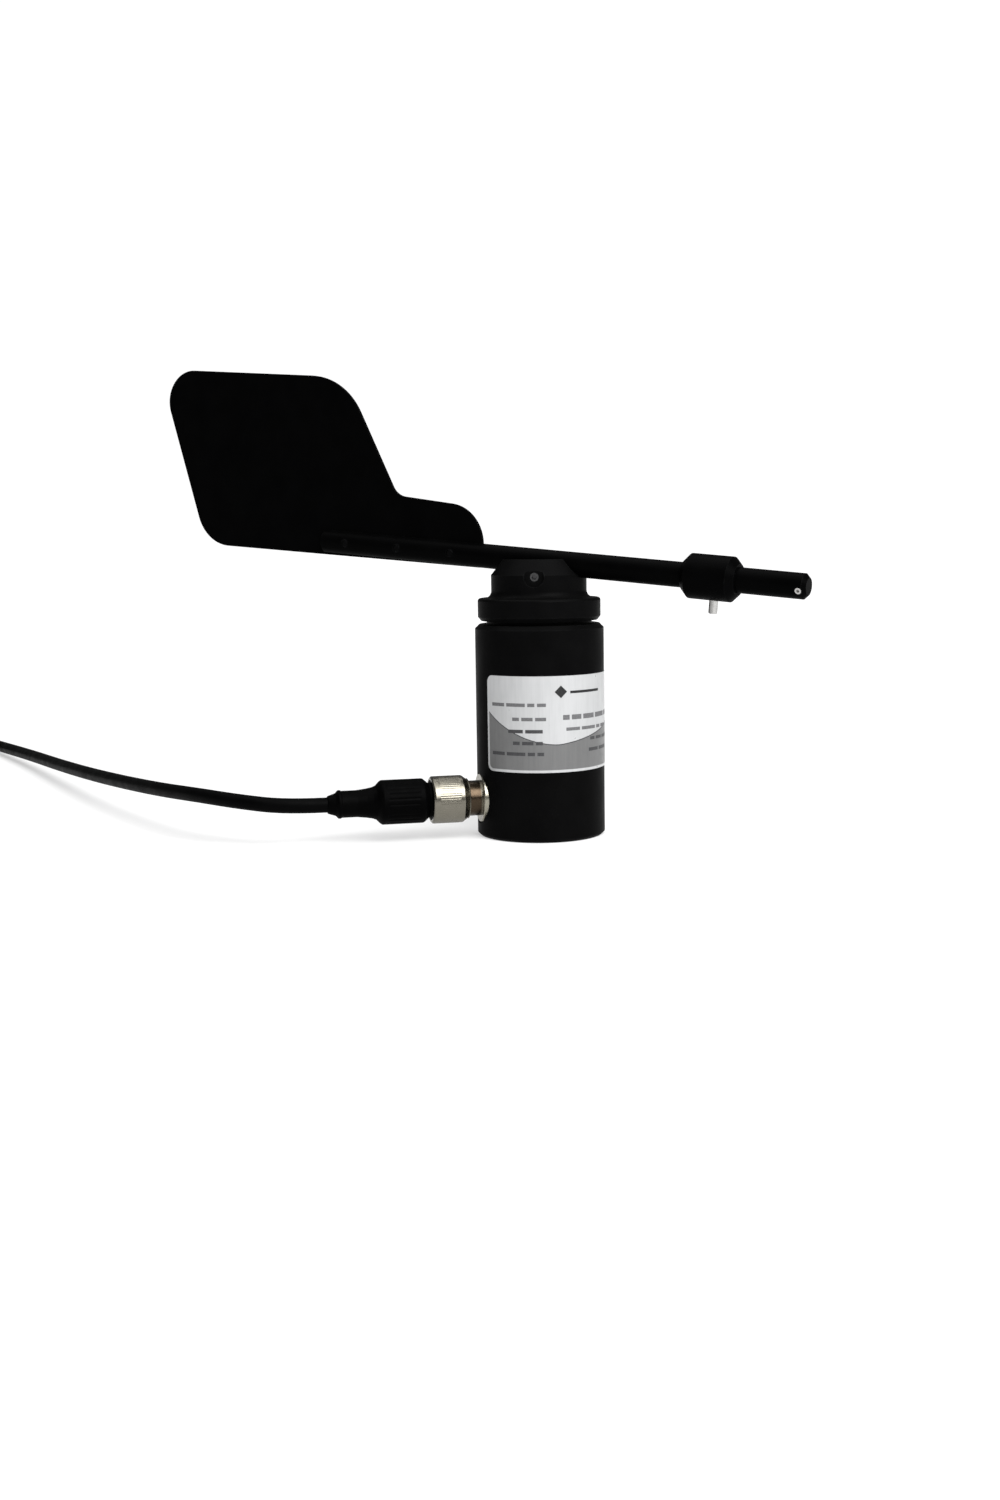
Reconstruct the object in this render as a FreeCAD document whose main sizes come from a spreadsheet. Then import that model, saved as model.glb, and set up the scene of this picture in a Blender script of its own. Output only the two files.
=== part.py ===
import FreeCAD, Part
import Sketcher
import math
import os
from FreeCAD import Vector, Placement, Rotation

# Wind direction sensor: a fin-tailed vane that turns on a turned cylindrical
# housing, with its M12 cordset plugged in. Millimetres. +Z is the spin axis,
# the origin is the centre of the housing's flat underside, and the connector
# leaves along -X.

doc = FreeCAD.newDocument("wind_vane")
sheet = doc.addObject("Spreadsheet::Sheet", "dims")

DIMENSIONS = [
    # housing
    ("body_dia", 40.0, "housing bar stock"),
    ("body_top", 65.8, "height of the housing's top face"),
    ("top_chamfer", 1.3, "chamfer round the housing's top"),
    ("foot_chamfer", 0.8, "chamfer round the housing's foot"),
    ("cavity_dia", 27.0, "electronics cavity"),
    ("cavity_top", 37.0, "ceiling of the cavity"),
    ("labyrinth_dia", 32.6, "ring that stands up inside the hub's skirt"),
    ("labyrinth_top", 70.0, "top of that ring"),
    ("recess_dia", 37.4, "recess for the base plate"),
    ("recess_depth", 2.6, "depth of that recess"),
    ("mast_bore", 6.8, "M8 tapping bore in the base"),
    ("mast_depth", 12.0, "depth of the M8 bore"),
    # bearings
    ("bearing_od", 19.0, "ball bearing outer diameter"),
    ("bearing_id", 6.0, "ball bearing bore"),
    ("bearing_width", 6.0, "ball bearing width"),
    ("lower_bearing", 39.0, "underside of the lower bearing"),
    ("upper_bearing", 55.0, "underside of the upper bearing"),
    ("ball_circle", 12.7, "circle through the ball centres"),
    ("ball_dia", 3.2, "ball diameter"),
    # rotor
    ("shaft_dia", 6.0, "spindle in the bearings"),
    ("neck_dia", 8.0, "spindle above the bearings"),
    ("neck_top", 80.6, "top of the spindle's neck"),
    ("flange_dia", 38.1, "hub flange"),
    ("flange_foot", 66.9, "underside of the hub flange"),
    ("flange_top", 73.8, "top of the hub flange"),
    ("skirt_bore", 34.0, "bore of the hub's skirt"),
    ("hub_dia", 29.6, "hub above the flange"),
    ("hub_shoulder", 80.9, "where the hub begins to taper"),
    ("hub_top", 85.6, "top of the hub"),
    ("hub_top_dia", 22.2, "diameter of the hub's top"),
    ("hub_fillet", 2.2, "fillet between flange and hub"),
    ("hub_screw_level", 80.4, "height of the hub's set screw"),
    ("hub_screw_bearing", 250.0, "direction of the hub's set screw, degrees"),
    # vane
    ("rod_level", 85.0, "height of the rod's axis on the spin axis"),
    ("rod_dia", 7.6, "vane rod"),
    ("rod_front", 87.5, "rod's nose, from the spin axis"),
    ("rod_rear", 80.0, "rod's tail end, behind the spin axis"),
    ("vane_heading", -42.0, "direction of the nose at rest, degrees"),
    ("vane_pitch", 5.0, "nose-down pitch of the rod, degrees"),
    ("fin_thick", 1.0, "tail fin plate"),
    ("weight_rear", 49.2, "counterweight, rear face"),
    ("weight_length", 17.0, "counterweight, length"),
    ("weight_dia", 13.4, "counterweight diameter"),
    ("weight_chamfer", 2.0, "counterweight chamfers"),
    ("weight_screw", 58.9, "counterweight's locking screw"),
    ("weight_screw_drop", 10.5, "how far that screw reaches below the rod's axis"),
    # connector and cordset
    ("plug_level", 11.9, "height of the connector's axis"),
    ("plug_disc", 15.4, "receptacle flange"),
    ("thread_dia", 12.0, "M12 thread"),
    ("nut_dia", 14.74, "coupling nut"),
    ("nut_front", 25.4, "coupling nut, end of its nose cone, from the spin axis"),
    ("nut_rear", 35.4, "coupling nut, rear face"),
    ("grip_dia", 13.8, "plug's moulded grip"),
    ("sleeve_dia", 8.3, "plug's strain relief sleeve"),
    ("tail_end", 67.5, "end of the strain relief, from the spin axis"),
    ("cable_dia", 4.7, "cable"),
    # label
    ("label_low", 21.6, "lower edge of the label"),
    ("label_high", 50.9, "upper edge of the label"),
    ("label_thick", 0.1, "label foil"),
    ("label_start", 203.0, "direction of the label's first edge, degrees"),
    ("label_sweep", 180.0, "how far the label goes round, degrees"),
]


class Dim:
    """A number that also knows how the sheet's cells make it."""

    def __init__(self, text, value):
        self.text, self.value = text, float(value)

    def _with(self, other, sign, turn=False):
        a = self
        b = other if isinstance(other, Dim) else Dim(repr(float(other)), other)
        if turn:
            a, b = b, a
        value = {"+": a.value + b.value, "-": a.value - b.value, "*": a.value * b.value}.get(sign)
        if value is None:
            value = a.value / b.value
        return Dim("(%s %s %s)" % (a.text, sign, b.text), value)

    def __add__(self, o):
        return self._with(o, "+")

    def __radd__(self, o):
        return self._with(o, "+", True)

    def __sub__(self, o):
        return self._with(o, "-")

    def __rsub__(self, o):
        return self._with(o, "-", True)

    def __mul__(self, o):
        return self._with(o, "*")

    def __rmul__(self, o):
        return self._with(o, "*", True)

    def __truediv__(self, o):
        return self._with(o, "/")


d = {}
for row, (alias, value, note) in enumerate(DIMENSIONS, start=1):
    sheet.set("A%d" % row, alias)
    sheet.set("B%d" % row, str(value))
    sheet.set("C%d" % row, note)
    sheet.setAlias("B%d" % row, alias)
    d[alias] = Dim("dims." + alias, value)
doc.recompute()


def num(x):
    return x.value if isinstance(x, Dim) else float(x)


def bind(obj, prop, x):
    """Gives a property its size, through the sheet where the size comes from it."""
    if isinstance(x, Dim):
        obj.setExpression(prop, x.text)
    else:
        setattr(obj, prop, x)


def plane(body, role):
    for f in body.Origin.OriginFeatures:
        if f.Role == role:
            return f


def outline(body, points, role="XZ_Plane"):
    """A closed straight-sided sketch. Each corner's place is bound to the sheet."""
    sk = body.newObject("Sketcher::SketchObject", body.Name + "_outline")
    sk.AttachmentSupport = [(plane(body, role), "")]
    sk.MapMode = "FlatFace"
    n = len(points)
    at = [Vector(num(x), num(y), 0) for x, y in points]
    for i in range(n):
        sk.addGeometry(Part.LineSegment(at[i], at[(i + 1) % n]), False)
    for i in range(n):
        sk.addConstraint(Sketcher.Constraint("Coincident", i, 2, (i + 1) % n, 1))
    for i, (x, y) in enumerate(points):
        for kind, value, axis in (("DistanceX", x, -2), ("DistanceY", y, -1)):
            if abs(num(value)) < 1e-9:
                sk.addConstraint(Sketcher.Constraint("PointOnObject", i, 1, axis))
            else:
                c = sk.addConstraint(Sketcher.Constraint(kind, -1, 1, i, 1, num(value)))
                if isinstance(value, Dim):
                    sk.setExpression("Constraints[%d]" % c, value.text)
    return sk


def turned(label, points, place=None):
    """A turned piece: points are (radius, height along the turning axis)."""
    body = doc.addObject("PartDesign::Body", label)
    body.Label = label
    sk = outline(body, points)
    rev = body.newObject("PartDesign::Revolution", label + "_turn")
    rev.Profile = sk
    rev.ReferenceAxis = (sk, ["V_Axis"])
    rev.Angle = 360.0
    sk.Visibility = False
    body.Tip = rev
    doc.recompute()
    if place is not None:
        body.Placement = place
    return body


def plate(label, points, thick, place=None):
    """A flat piece: its outline in the XY plane, padded along +Z."""
    body = doc.addObject("PartDesign::Body", label)
    body.Label = label
    sk = outline(body, points, "XY_Plane")
    pad = body.newObject("PartDesign::Pad", label + "_pad")
    pad.Profile = sk
    bind(pad, "Length", thick)
    body.Tip = pad
    doc.recompute()
    if place is not None:
        body.Placement = place
    return body


def rounded(body, radius, wanted, name="round"):
    """Fillets the edges of the body's tip that wanted(edge) picks."""
    tip = body.Tip
    edges = ["Edge%d" % (i + 1) for i, e in enumerate(tip.Shape.Edges) if wanted(e)]
    if not edges:
        raise RuntimeError(body.Label + ": no edge to round")
    f = body.newObject("PartDesign::Fillet", body.Name + "_" + name)
    f.Base = (tip, edges)
    bind(f, "Radius", radius)
    body.Tip = f
    doc.recompute()
    return body


def cylinder(label, radius, height, place=None, angle=None):
    c = doc.addObject("Part::Cylinder", label)
    c.Label = label
    bind(c, "Radius", radius)
    bind(c, "Height", height)
    if angle is not None:
        bind(c, "Angle", angle)
    if place is not None:
        c.Placement = place
    return c


def box(label, lx, ly, lz, place=None):
    b = doc.addObject("Part::Box", label)
    b.Label = label
    bind(b, "Length", lx)
    bind(b, "Width", ly)
    bind(b, "Height", lz)
    if place is not None:
        b.Placement = place
    return b


def cone(label, low, high, height, place=None):
    c = doc.addObject("Part::Cone", label)
    c.Label = label
    bind(c, "Radius1", low)
    bind(c, "Radius2", high)
    bind(c, "Height", height)
    if place is not None:
        c.Placement = place
    return c


def prism(label, across, height, place=None):
    """A hexagonal prism, across its flats."""
    p = doc.addObject("Part::Prism", label)
    p.Label = label
    p.Polygon = 6
    bind(p, "Circumradius", across / math.sqrt(3.0))
    bind(p, "Height", height)
    if place is not None:
        p.Placement = place
    return p


def union(label, parts):
    f = doc.addObject("Part::MultiFuse", label)
    f.Label = label
    f.Shapes = parts
    return f


def group(label, parts):
    c = doc.addObject("Part::Compound", label)
    c.Label = label
    c.Links = parts
    return c


def cut(label, base, tools):
    base.Label = label + "_blank"
    tool = tools[0] if len(tools) == 1 else union(label + "_tools", tools)
    c = doc.addObject("Part::Cut", label)
    c.Label = label
    c.Base = base
    c.Tool = tool
    doc.recompute()
    if not c.Shape.Volume < base.Shape.Volume - 1e-6:
        raise RuntimeError(label + ": the tools remove nothing")
    return c


def frame(x, y, z, at):
    """The placement whose local X, Y and Z are these directions."""
    m = FreeCAD.Matrix(x.x, y.x, z.x, at.x, x.y, y.y, z.y, at.y, x.z, y.z, z.z, at.z, 0, 0, 0, 1)
    return Placement(m)


def moved(place, x, y, z):
    """The same directions, with the origin moved in the placement's own frame."""
    return place.multiply(Placement(Vector(num(x), num(y), num(z)), Rotation()))


def up(x=0, y=0, z=0):
    return Placement(Vector(num(x), num(y), num(z)), Rotation())


def polar(radius, degrees):
    a = math.radians(num(degrees))
    return num(radius) * math.cos(a), num(radius) * math.sin(a)


def route(points, name=""):
    """Straight runs joined by tangent arcs, as one wire."""
    pts = [Vector(*p) for p in points]
    edges, last = [], pts[0]
    radii = []
    for a, b, c in zip(pts, pts[1:], pts[2:]):
        u, v = (b - a), (c - b)
        short = min(u.Length, v.Length)
        ud, vd = Vector(u).normalize(), Vector(v).normalize()
        turn = ud.getAngle(vd)
        t = 0.45 * short
        r = t / math.tan(turn / 2.0)
        radii.append(round(r, 1))
        p1, p2 = b - ud * t, b + vd * t
        to_centre = (vd - ud).normalize()
        centre = b + to_centre * math.hypot(r, t)
        mid = centre + (b - centre).normalize() * r
        edges.append(Part.LineSegment(last, p1).toShape())
        edges.append(Part.Arc(p1, mid, p2).toShape())
        last = p2
    edges.append(Part.LineSegment(last, pts[-1]).toShape())
    if name:
        print(name, "radii", radii)
    return Part.Wire(edges)


def tube(label, points, diameter, show=True):
    """A round solid along a route."""
    path = route(points, name=label if show else "")
    start = Vector(*points[0])
    heading = Vector(*points[1]) - start
    ring = Part.Wire([Part.Circle(start, heading, num(diameter) / 2.0).toShape()])
    solid = path.makePipeShell([ring], True, True)
    expected = math.pi * (num(diameter) / 2.0) ** 2 * path.Length
    if abs(solid.Volume - expected) > 0.01 * expected:
        raise RuntimeError("%s: volume %.1f, expected %.1f" % (label, solid.Volume, expected))
    f = doc.addObject("Part::Feature", label)
    f.Label = label
    f.Shape = solid
    if show:
        print(label, "length %.1f" % path.Length)
    return f


X, Y, Z = Vector(1, 0, 0), Vector(0, 1, 0), Vector(0, 0, 1)
nodes = []


def keep(obj):
    nodes.append(obj)
    return obj


def round_edge(radius, height):
    """Picks a circular edge by its radius and height, in the body's own frame."""
    def wanted(e):
        c = e.Curve
        return isinstance(c, Part.Circle) and abs(c.Radius - num(radius)) < 0.02 and abs(c.Center.z - num(height)) < 0.02
    return wanted


# ---------------------------------------------------------------- housing
body_r = d["body_dia"] / 2
cavity_r = d["cavity_dia"] / 2
bore_r = d["bearing_od"] / 2
recess_r = d["recess_dia"] / 2
ring_r = d["labyrinth_dia"] / 2
flange_seat = 17.2     # spot face for the receptacle, from the spin axis
inner_seat = 14.2      # flat for the lock nut inside the cavity
screw_circle, board_circle = 16.0, 10.5

housing = turned("body_housing", [
    (recess_r, 0), (body_r - d["foot_chamfer"], 0), (body_r, d["foot_chamfer"]),
    (body_r, d["body_top"] - d["top_chamfer"]), (body_r - d["top_chamfer"], d["body_top"]),
    (ring_r, d["body_top"]), (ring_r, d["labyrinth_top"]), (ring_r - 1.7, d["labyrinth_top"]),
    (ring_r - 1.7, 66.5), (10.5, 66.5), (10.5, 63.0), (bore_r, 63.0), (bore_r, 62.1), (10.0, 62.1),
    (10.0, d["upper_bearing"] + d["bearing_width"]), (bore_r, d["upper_bearing"] + d["bearing_width"]),
    (bore_r, d["lower_bearing"]), (8.0, d["lower_bearing"]), (8.0, d["cavity_top"]),
    (cavity_r, d["cavity_top"]), (cavity_r, d["recess_depth"]), (recess_r, d["recess_depth"]),
])
outward = Placement(Vector(0, 0, num(d["plug_level"])), Rotation(Y, -90))   # local Z runs along -X
tools = [
    cylinder("receptacle_spot", d["plug_disc"] / 2 + 0.2, 6.0, moved(outward, 0, 0, flange_seat)),
    cylinder("receptacle_hole", d["thread_dia"] / 2 + 0.02, 12.0, moved(outward, 0, 0, 9.0)),
    cylinder("lock_nut_spot", 8.6, inner_seat - 9.0, moved(outward, 0, 0, 9.0)),
]
for i in range(3):
    x, y = polar(screw_circle, 120 * i)
    tools.append(cylinder("base_tapping_%d" % (i + 1), 1.25, 8.6, up(x, y, d["recess_depth"] - 0.2)))
    x, y = polar(board_circle, 30 + 120 * i)
    tools.append(cylinder("board_tapping_%d" % (i + 1), 1.0, 2.0, up(x, y, d["cavity_top"])))
keep(cut("body_housing", housing, tools))
housing.Label = "body_housing_blank"

# base plate with the M8 mast thread, its gasket and three countersunk screws
plate_top = d["recess_depth"] - 0.5
base = turned("base_plate", [
    (d["mast_bore"] / 2, 0), (18.52, 0), (18.6, 0.08), (18.6, plate_top), (6.2, plate_top), (6.2, 13.5), (0, 13.5),
    (0, d["mast_depth"]), (d["mast_bore"] / 2, d["mast_depth"]),
])
tools = []
for i in range(3):
    x, y = polar(screw_circle, 120 * i)
    tools.append(cone("base_sink_%d" % (i + 1), 2.4, 1.25, 1.3, up(x, y, 0)))
    tools.append(cylinder("base_clear_%d" % (i + 1), 1.25, 3.0, up(x, y, 0)))
keep(cut("base_plate", base, tools))
gasket = turned("base_gasket", [(13.6, plate_top), (18.5, plate_top), (18.5, d["recess_depth"]), (13.6, d["recess_depth"])])
tools = [cylinder("base_gasket_hole_%d" % (i + 1), 1.25, 3.0, up(*polar(screw_circle, 120 * i), 0)) for i in range(3)]
keep(cut("base_gasket", gasket, tools))
for i in range(3):
    x, y = polar(screw_circle, 120 * i)
    screw = turned("base_screw_%d" % (i + 1), [(0, 0.1), (2.31, 0.1), (1.25, 1.3), (1.25, 10.6), (0.9, 11.0), (0, 11.0)], up(x, y, 0))
    keep(cut("base_screw_%d" % (i + 1), screw, [prism("base_hex_%d" % (i + 1), 1.5, 0.9, up(x, y, 0))]))

# wrap-round label foil with rounded corners
label_corner = 2.2
foil = turned("label_ring", [(body_r, d["label_low"]), (body_r + d["label_thick"], d["label_low"]),
                             (body_r + d["label_thick"], d["label_high"]), (body_r, d["label_high"])])
foil.Tip.setExpression("Angle", d["label_sweep"].text)
doc.recompute()
foil.Placement = Placement(Vector(), Rotation(Z, num(d["label_start"])))


def corner_tool(name, level, rise, edge, inward):
    """The waste outside one rounded corner: a block less the corner's own circle."""
    at = math.radians(num(d["label_start"]) + edge) + inward * label_corner / num(body_r)
    radial, tangent = Vector(math.cos(at), math.sin(at), 0), Vector(-math.sin(at), math.cos(at), 0)
    beside, beyond = tangent * -inward, Z * -rise
    through = beside.cross(beyond)
    depth = 18.0 if through.dot(radial) > 0 else 22.0
    place = frame(beside, beyond, through, Vector(0, 0, num(level) + rise * label_corner) + radial * depth)
    notch = doc.addObject("Part::Cut", name)
    notch.Base = box(name + "_block", label_corner + 1.0, label_corner + 1.0, 4.0, place)
    notch.Tool = cylinder(name + "_circle", label_corner, 6.0, moved(place, 0, 0, -1.0))
    return notch


corner_tools = []
for row, (level, rise) in enumerate(((d["label_low"], 1), (d["label_high"], -1))):
    for column, (edge, inward) in enumerate(((0.0, 1), (num(d["label_sweep"]), -1))):
        corner_tools.append(corner_tool("label_corner_%d%d" % (row, column), level, rise, edge, inward))
doc.recompute()
keep(cut("label", foil, corner_tools))

# ---------------------------------------------------------------- bearings
race_out, race_in = 7.5, 5.2
for which, seat in (("lower", d["lower_bearing"]), ("upper", d["upper_bearing"])):
    mid_z = num(seat) + num(d["bearing_width"]) / 2
    track = 1.7
    for name, near, far_r, sign in (("outer", race_out, bore_r, 1), ("inner", race_in, d["bearing_id"] / 2, -1)):
        # the ball track is a groove of six flats round the ring
        half = math.sqrt(track ** 2 - (near - num(d["ball_circle"]) / 2) ** 2)
        groove = []
        for k in range(7):
            rise = -half + 2 * half * k / 6
            groove.append((d["ball_circle"] / 2 + sign * math.sqrt(track ** 2 - rise ** 2), seat + d["bearing_width"] / 2 + rise))
        keep(turned("%s_bearing_%s" % (which, name), [(far_r, seat + d["bearing_width"]), (far_r, seat), (near, seat)] + groove
                    + [(near, seat + d["bearing_width"])]))
    balls = []
    for i in range(7):
        b = doc.addObject("Part::Sphere", "%s_ball_%d" % (which, i + 1))
        bind(b, "Radius", d["ball_dia"] / 2)
        x, y = polar(d["ball_circle"] / 2, 360.0 * i / 7)
        b.Placement = up(x, y, mid_z)
        balls.append(b)
    keep(group("%s_bearing_balls" % which, balls))
keep(turned("bearing_spacer", [(8.2, d["lower_bearing"] + d["bearing_width"]), (bore_r, d["lower_bearing"] + d["bearing_width"]),
                               (bore_r, d["upper_bearing"]), (8.2, d["upper_bearing"])]))
clip = turned("bearing_circlip", [(8.4, 61.05), (9.95, 61.05), (9.95, 62.05), (8.4, 62.05)])
keep(cut("bearing_circlip", clip, [box("circlip_gap", 4.0, 5.0, 3.0, up(7.0, -2.5, 60.5))]))
keep(turned("shaft_seal", [(d["neck_dia"] / 2 + 0.06, 63.3), (5.0, 63.0), (10.5, 63.0), (10.5, 66.0), (8.5, 66.0), (7.6, 65.0),
                           (5.6, 65.0), (d["neck_dia"] / 2 + 0.06, 64.2)]))

# ---------------------------------------------------------------- electronics
board_low, board_high = 27.8, 29.4
board = cylinder("circuit_board", 13.0, board_high - board_low, up(0, 0, board_low))
tools = [cylinder("board_hole_%d" % (i + 1), 1.2, 4.0, up(*polar(board_circle, 30 + 120 * i), board_low - 1)) for i in range(3)]
keep(cut("circuit_board", board, tools))
keep(box("sensor_chip", 5.0, 4.4, 0.9, up(-2.5, -2.2, board_high)))
parts = [
    box("board_header", 3.2, 6.2, 3.4, up(-9.2, -3.4, board_low - 3.4)),
    box("board_regulator", 4.0, 3.4, 1.6, up(2.0, -6.5, board_low - 1.6)),
    box("board_driver", 4.6, 4.0, 1.4, up(1.0, 1.5, board_low - 1.4)),
    cylinder("board_capacitor", 2.0, 4.6, up(-5.4, -7.6, board_low - 4.6)),
    cylinder("board_capacitor_small", 1.6, 3.6, up(-1.6, 8.6, board_low - 3.6)),
    box("board_part_a", 1.2, 2.0, 0.7, up(5.4, 1.0, board_high)),
    box("board_part_b", 1.2, 2.0, 0.7, up(6.0, -3.6, board_high)),
    box("board_part_c", 2.0, 1.2, 0.7, up(-6.6, 2.8, board_high)),
]
keep(group("board_parts", parts))
for i in range(3):
    x, y = polar(board_circle, 30 + 120 * i)
    post = prism("board_standoff_%d" % (i + 1), 4.4, d["cavity_top"] - board_high, up(x, y, board_high))
    keep(cut("board_standoff_%d" % (i + 1), post, [cylinder("standoff_bore_%d" % (i + 1), 1.0, 5.0, up(x, y, board_high))]))
    screw = turned("board_screw_%d" % (i + 1), [(0, 26.3), (1.7, 26.3), (2.1, 26.7), (2.1, board_low), (1.0, board_low), (1.0, 33.4), (0, 33.4)], up(x, y, 0))
    keep(cut("board_screw_%d" % (i + 1), screw, [prism("board_hex_%d" % (i + 1), 1.5, 0.9, up(x, y, 26.2))]))

# ---------------------------------------------------------------- spindle
shaft_r, neck_r = d["shaft_dia"] / 2, d["neck_dia"] / 2
shoulder = d["upper_bearing"] + d["bearing_width"]
keep(turned("spindle", [
    (0, 34.9), (shaft_r - 0.3, 34.9), (shaft_r, 35.2), (shaft_r, 38.1), (2.5, 38.1), (2.5, d["lower_bearing"]), (shaft_r, d["lower_bearing"]),
    (shaft_r, shoulder), (neck_r, shoulder), (neck_r, d["neck_top"]), (2.0, d["neck_top"]), (2.0, 83.6), (1.6, 84.0), (0, 84.0),
]))
clip = turned("spindle_clip", [(2.5, 38.2), (4.6, 38.2), (4.6, d["lower_bearing"]), (2.5, d["lower_bearing"])])
keep(cut("spindle_clip", clip, [box("spindle_clip_gap", 4.0, 4.2, 2.0, up(1.0, -2.1, 37.6))]))
keep(turned("magnet_holder", [(3.0, 31.4), (4.7, 31.4), (5.0, 31.7), (5.0, 36.6), (4.7, 36.9), (shaft_r, 36.9), (shaft_r, 34.9), (0, 34.9),
                              (0, 33.9), (3.0, 33.9)]))
keep(cylinder("magnet", 3.0, 2.5, up(0, 0, 31.4)))

# ---------------------------------------------------------------- vane frame
tau, phi = math.radians(num(d["vane_pitch"])), math.radians(num(d["vane_heading"]))
U = Vector(math.cos(tau) * math.cos(phi), math.cos(tau) * math.sin(phi), -math.sin(tau))   # towards the nose
V = Vector(math.sin(tau) * math.cos(phi), math.sin(tau) * math.sin(phi), math.cos(tau))    # up, across the rod
W = U.cross(V)                                                                             # sideways
crossing = Vector(0, 0, num(d["rod_level"]))
along = frame(V, W, U, crossing)      # turned pieces on the rod
flat = frame(U, V, W, crossing)       # flat pieces in the fin's plane
rod_r = d["rod_dia"] / 2

# hub: flange and skirt below, tapered shoulder above, a saddle for the rod
hub_r = d["hub_dia"] / 2
hub = turned("rotor_hub", [
    (d["skirt_bore"] / 2, d["flange_foot"]), (d["flange_dia"] / 2 - 0.95, d["flange_foot"]), (d["flange_dia"] / 2, d["flange_foot"] + 1.2),
    (d["flange_dia"] / 2, d["flange_top"]), (hub_r, d["flange_top"]), (hub_r, d["hub_shoulder"]),
    (d["hub_top_dia"] / 2, d["hub_top"]), (0, d["hub_top"]), (0, d["neck_top"]), (neck_r, d["neck_top"]), (neck_r, 71.2),
    (d["skirt_bore"] / 2, 71.2),
])
rounded(hub, d["hub_fillet"], round_edge(hub_r, d["flange_top"]), "root")
rounded(hub, 0.9, round_edge(d["flange_dia"] / 2, d["flange_top"]), "rim")
aim = math.radians(num(d["hub_screw_bearing"]))
radial = Vector(math.cos(aim), math.sin(aim), 0)
side = Z.cross(radial)
screw_frame = frame(side, Z, radial, Vector(0, 0, num(d["hub_screw_level"])))
keep(cut("rotor_hub", hub, [
    cylinder("rod_saddle", rod_r, 60.0, moved(along, 0, 0, -30)),
    box("rod_slot", 60.0, 12.0, d["rod_dia"], moved(flat, -30, 0, -num(rod_r))),
    cylinder("hub_stud_hole", 2.0, 4.0, up(0, 0, 79.6)),
    cylinder("hub_screw_hole", 1.5, 12.0, moved(screw_frame, 0, 0, 3.9)),
    cylinder("hub_screw_spot", 3.1, 4.0, moved(screw_frame, 0, 0, 13.7)),
]))
grub = turned("hub_set_screw", [(0, 4.02), (1.0, 4.02), (1.5, 4.5), (1.5, 12.7), (1.3, 12.95), (0, 12.95)], screw_frame)
keep(cut("hub_set_screw", grub, [prism("hub_screw_hex", 1.5, 2.0, moved(screw_frame, 0, 0, 11.4))]))

# rod: solid bar, forked at the rear to take the fin
rod = turned("vane_rod", [(0, 0), (rod_r - 0.5, 0), (rod_r, 0.5), (rod_r, d["rod_rear"] + d["rod_front"] - 1.2),
                          (rod_r - 1.2, d["rod_rear"] + d["rod_front"]), (0, d["rod_rear"] + d["rod_front"])],
             moved(along, 0, 0, -num(d["rod_rear"])))
fin_front = 20.0
rivets_at = (30.0, 50.0, 70.0)
nose_dir = math.radians(-22)
NU = W * math.cos(nose_dir) + V * math.sin(nose_dir)
nose_frame = frame(U, NU.cross(U), NU, crossing + U * 85.4)
keep(cut("vane_rod", rod, [
    box("fin_slot", num(d["rod_rear"]) - fin_front + 1.0, 9.0, d["fin_thick"], moved(flat, -num(d["rod_rear"]) - 1.0, -4.5, -num(d["fin_thick"]) / 2)),
    cylinder("stud_thread", 2.0, 6.0, up(0, 0, 78.0)),
    cylinder("nose_thread", 1.1, 3.0, moved(nose_frame, 0, 0, 1.2)),
] + [cylinder("rivet_hole_%d" % (i + 1), 1.25, 10.0, moved(flat, -u, 0, -5.0)) for i, u in enumerate(rivets_at)]))
nose = turned("nose_screw", [(0, 1.25), (1.1, 1.25), (1.1, 3.35), (0.95, 3.5), (0, 3.5)], nose_frame)
keep(cut("nose_screw", nose, [prism("nose_hex", 0.9, 1.0, moved(nose_frame, 0, 0, 2.7))]))

# tail fin: a swept plate with a low tab that runs forward along the rod
fin_origin = (-160.0, -10.0)
FIN = [
    # along the rod, across it, corner radius
    (-20.0, -3.8, 0.6), (-20.0, 14.8, 13.0), (-53.0, 16.7, 6.0), (-75.4, 53.4, 23.0),
    (-152.8, 53.5, 10.5), (-129.8, -4.9, 14.0),
]
fin = plate("tail_fin", [(x - fin_origin[0], y - fin_origin[1]) for x, y, r in FIN], d["fin_thick"])
for k, (x, y, r) in enumerate(FIN):
    fx, fy = x - fin_origin[0], y - fin_origin[1]
    rounded(fin, r, lambda e: len(e.Vertexes) == 2 and all(math.hypot(v.Point.x - fx, v.Point.y - fy) < 1e-3 for v in e.Vertexes), "corner_%d" % (k + 1))
fin.Placement = moved(flat, fin_origin[0], fin_origin[1], -num(d["fin_thick"]) / 2)
keep(cut("tail_fin", fin, [cylinder("fin_hole_%d" % (i + 1), 1.25, 4.0, moved(flat, -u, 0, -2.0)) for i, u in enumerate(rivets_at)]))
for i, u in enumerate(rivets_at):
    keep(turned("fin_rivet_%d" % (i + 1), [(0, 0), (1.0, 0), (1.25, 0.2), (1.25, 7.2), (1.0, 7.4), (0, 7.4)], moved(flat, -u, 0, -3.7)))

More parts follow.
